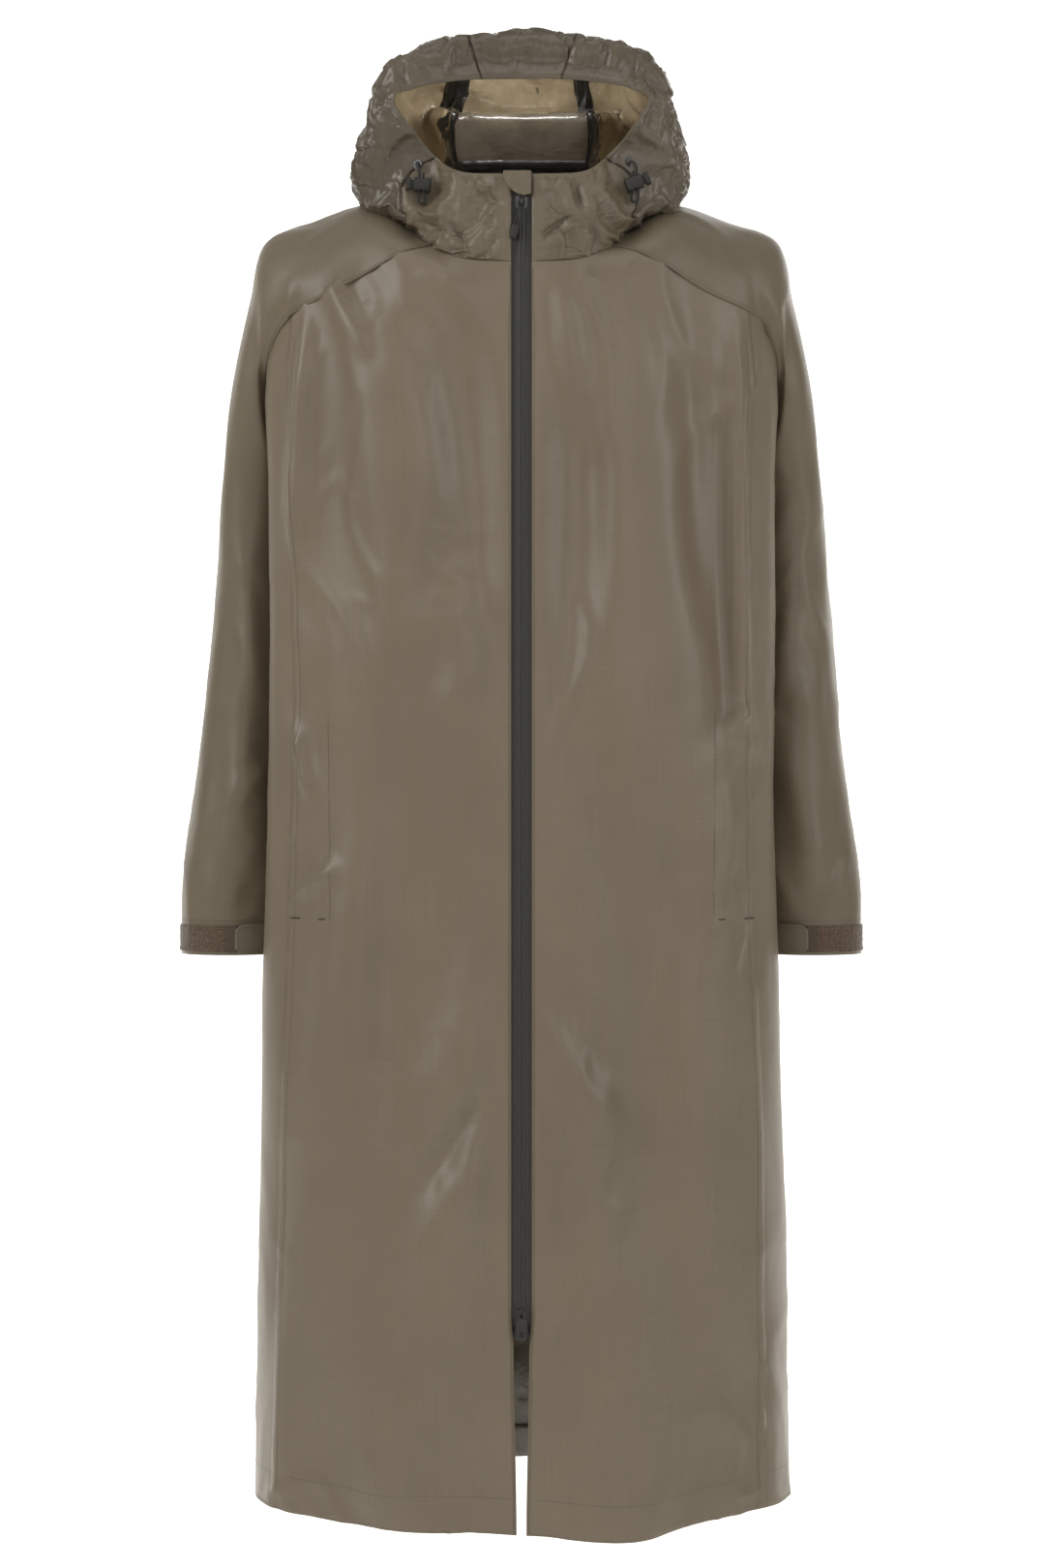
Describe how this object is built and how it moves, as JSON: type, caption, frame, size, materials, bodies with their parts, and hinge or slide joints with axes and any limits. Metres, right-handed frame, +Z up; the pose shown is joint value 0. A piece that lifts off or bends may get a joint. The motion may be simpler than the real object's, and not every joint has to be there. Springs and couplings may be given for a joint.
{
  "type": "hooded raincoat",
  "caption": "Long hooded raincoat with raglan sleeves, a two-way front zip, drawcord hood, side pockets and hook-and-loop cuff tabs.",
  "frame": {"origin": "centre of the neck at shoulder level, where shoulders or a hanger carry the coat", "axes": "+X to the coat's right edge as seen from the front, -Y out of the front, +Z up; left and right in names are as seen from the front"},
  "size_m": [0.6346, 0.2739, 1.334],
  "materials": {
    "shell_fabric": "shiny woven polyester taffeta, taupe",
    "inner_coating": "glossy coated inner face",
    "seam_tape": "glossy black heat seal tape",
    "zip_tape": "matt black coated zip tape",
    "zip_coil": "black nylon coil",
    "zip_metal": "black lacquered zinc slider",
    "pull_cord": "black braided cord",
    "moulded_trim": "dark moulded plastic",
    "spring_steel": "bright spring wire",
    "eyelet_metal": "dark lacquered eyelet",
    "loop_tape": "brown fuzzy loop tape",
    "hook_tape": "brown moulded hooks",
    "label_fabric": "blank pale woven satin"
  },
  "bodies": {
    "coat": {"back_panel": "shell_fabric", "collar": "shell_fabric", "hood_centre_panel": "shell_fabric", "hood_brim": "shell_fabric", "zip_garage": "shell_fabric", "front_panel_left": "shell_fabric", "front_panel_right": "shell_fabric", "raglan_shoulder_left": "shell_fabric", "raglan_shoulder_right": "shell_fabric", "hood_side_left": "shell_fabric", "hood_side_right": "shell_fabric", "pocket_welt_left": "shell_fabric", "pocket_welt_right": "shell_fabric", "hem_facing": "inner_coating", "pocket_bag_left": "inner_coating", "pocket_bag_right": "inner_coating", "hanger_loop": "inner_coating", "neck_seam_tape": "seam_tape", "hood_seam_tape_left": "seam_tape", "hood_seam_tape_right": "seam_tape", "zip_tape_left": "zip_tape", "zip_tape_right": "zip_tape", "zip_coil_left": "zip_coil", "zip_coil_right": "zip_coil", "zip_end_pins": "zip_coil", "zip_top_stops": "zip_coil", "drawcord_left": "pull_cord", "drawcord_right": "pull_cord", "eyelet_left": "eyelet_metal", "eyelet_right": "eyelet_metal", "care_label": "label_fabric"},
    "sleeve_left": {"sleeve_left": "shell_fabric", "loop_patch_left": "loop_tape"},
    "sleeve_right": {"sleeve_right": "shell_fabric", "loop_patch_right": "loop_tape"},
    "cuff_tab_left": {"cuff_tab_left": "shell_fabric", "hook_patch_left": "hook_tape"},
    "cuff_tab_right": {"cuff_tab_right": "shell_fabric", "hook_patch_right": "hook_tape"},
    "top_slider": {"top_slider": "zip_metal"},
    "top_pull": {"top_pull_cord": "pull_cord", "top_pull_end": "moulded_trim"},
    "bottom_slider": {"bottom_slider": "zip_metal"},
    "bottom_pull": {"bottom_pull_tab": "zip_metal"},
    "lock_left": {"cordlock_body_left": "moulded_trim", "cordlock_spring_left": "spring_steel"},
    "lock_right": {"cordlock_body_right": "moulded_trim", "cordlock_spring_right": "spring_steel"},
    "button_left": {"cordlock_button_left": "moulded_trim"},
    "button_right": {"cordlock_button_right": "moulded_trim"}
  },
  "joints": [
    {"name": "sleeve_swing_left", "type": "hinge", "parent": "coat", "child": "sleeve_left", "pos_m": [-0.2053, -0.014, -0.024], "axis": [0, 1, 0], "range_deg": [0, 40]},
    {"name": "cuff_tab_peel_left", "type": "hinge", "parent": "sleeve_left", "child": "cuff_tab_left", "pos_m": [-0.23553, -0.00164, -0.682], "axis": [0, 0, 1], "range_deg": [0, 45]},
    {"name": "cordlock_slide_left", "type": "slide", "parent": "coat", "child": "lock_left", "axis": [0, 0, 1], "range_m": [-0.001, 0.004]},
    {"name": "button_press_left", "type": "slide", "parent": "lock_left", "child": "button_left", "axis": [0.9976, 0, -0.0698], "range_m": [0, 0.0022], "stiffness_N_per_m": 600, "springref_m": -0.003, "deforming": ["cordlock_spring_left"]},
    {"name": "sleeve_swing_right", "type": "hinge", "parent": "coat", "child": "sleeve_right", "pos_m": [0.2053, -0.014, -0.024], "axis": [0, -1, 0], "range_deg": [0, 40]},
    {"name": "cuff_tab_peel_right", "type": "hinge", "parent": "sleeve_right", "child": "cuff_tab_right", "pos_m": [0.23553, -0.00164, -0.682], "axis": [0, 0, -1], "range_deg": [0, 45]},
    {"name": "cordlock_slide_right", "type": "slide", "parent": "coat", "child": "lock_right", "axis": [0, 0, 1], "range_m": [-0.001, 0.004]},
    {"name": "button_press_right", "type": "slide", "parent": "lock_right", "child": "button_right", "axis": [-0.9397, 0, -0.342], "range_m": [0, 0.0022], "stiffness_N_per_m": 600, "springref_m": -0.003, "deforming": ["cordlock_spring_right"]},
    {"name": "top_slider_run", "type": "slide", "parent": "coat", "child": "top_slider", "axis": [0, 0, 1], "range_m": [-0.55, 0]},
    {"name": "top_pull_flip", "type": "hinge", "parent": "top_slider", "child": "top_pull", "pos_m": [0, -0.1249, -0.028], "axis": [-1, 0, 0], "range_deg": [0, 120]},
    {"name": "bottom_slider_run", "type": "slide", "parent": "coat", "child": "bottom_slider", "axis": [0, 0, 1], "range_m": [-0.15, 0.3]},
    {"name": "bottom_pull_flip", "type": "hinge", "parent": "bottom_slider", "child": "bottom_pull", "pos_m": [0, -0.1249, -1.003], "axis": [-1, 0, 0], "range_deg": [0, 90]}
  ]
}
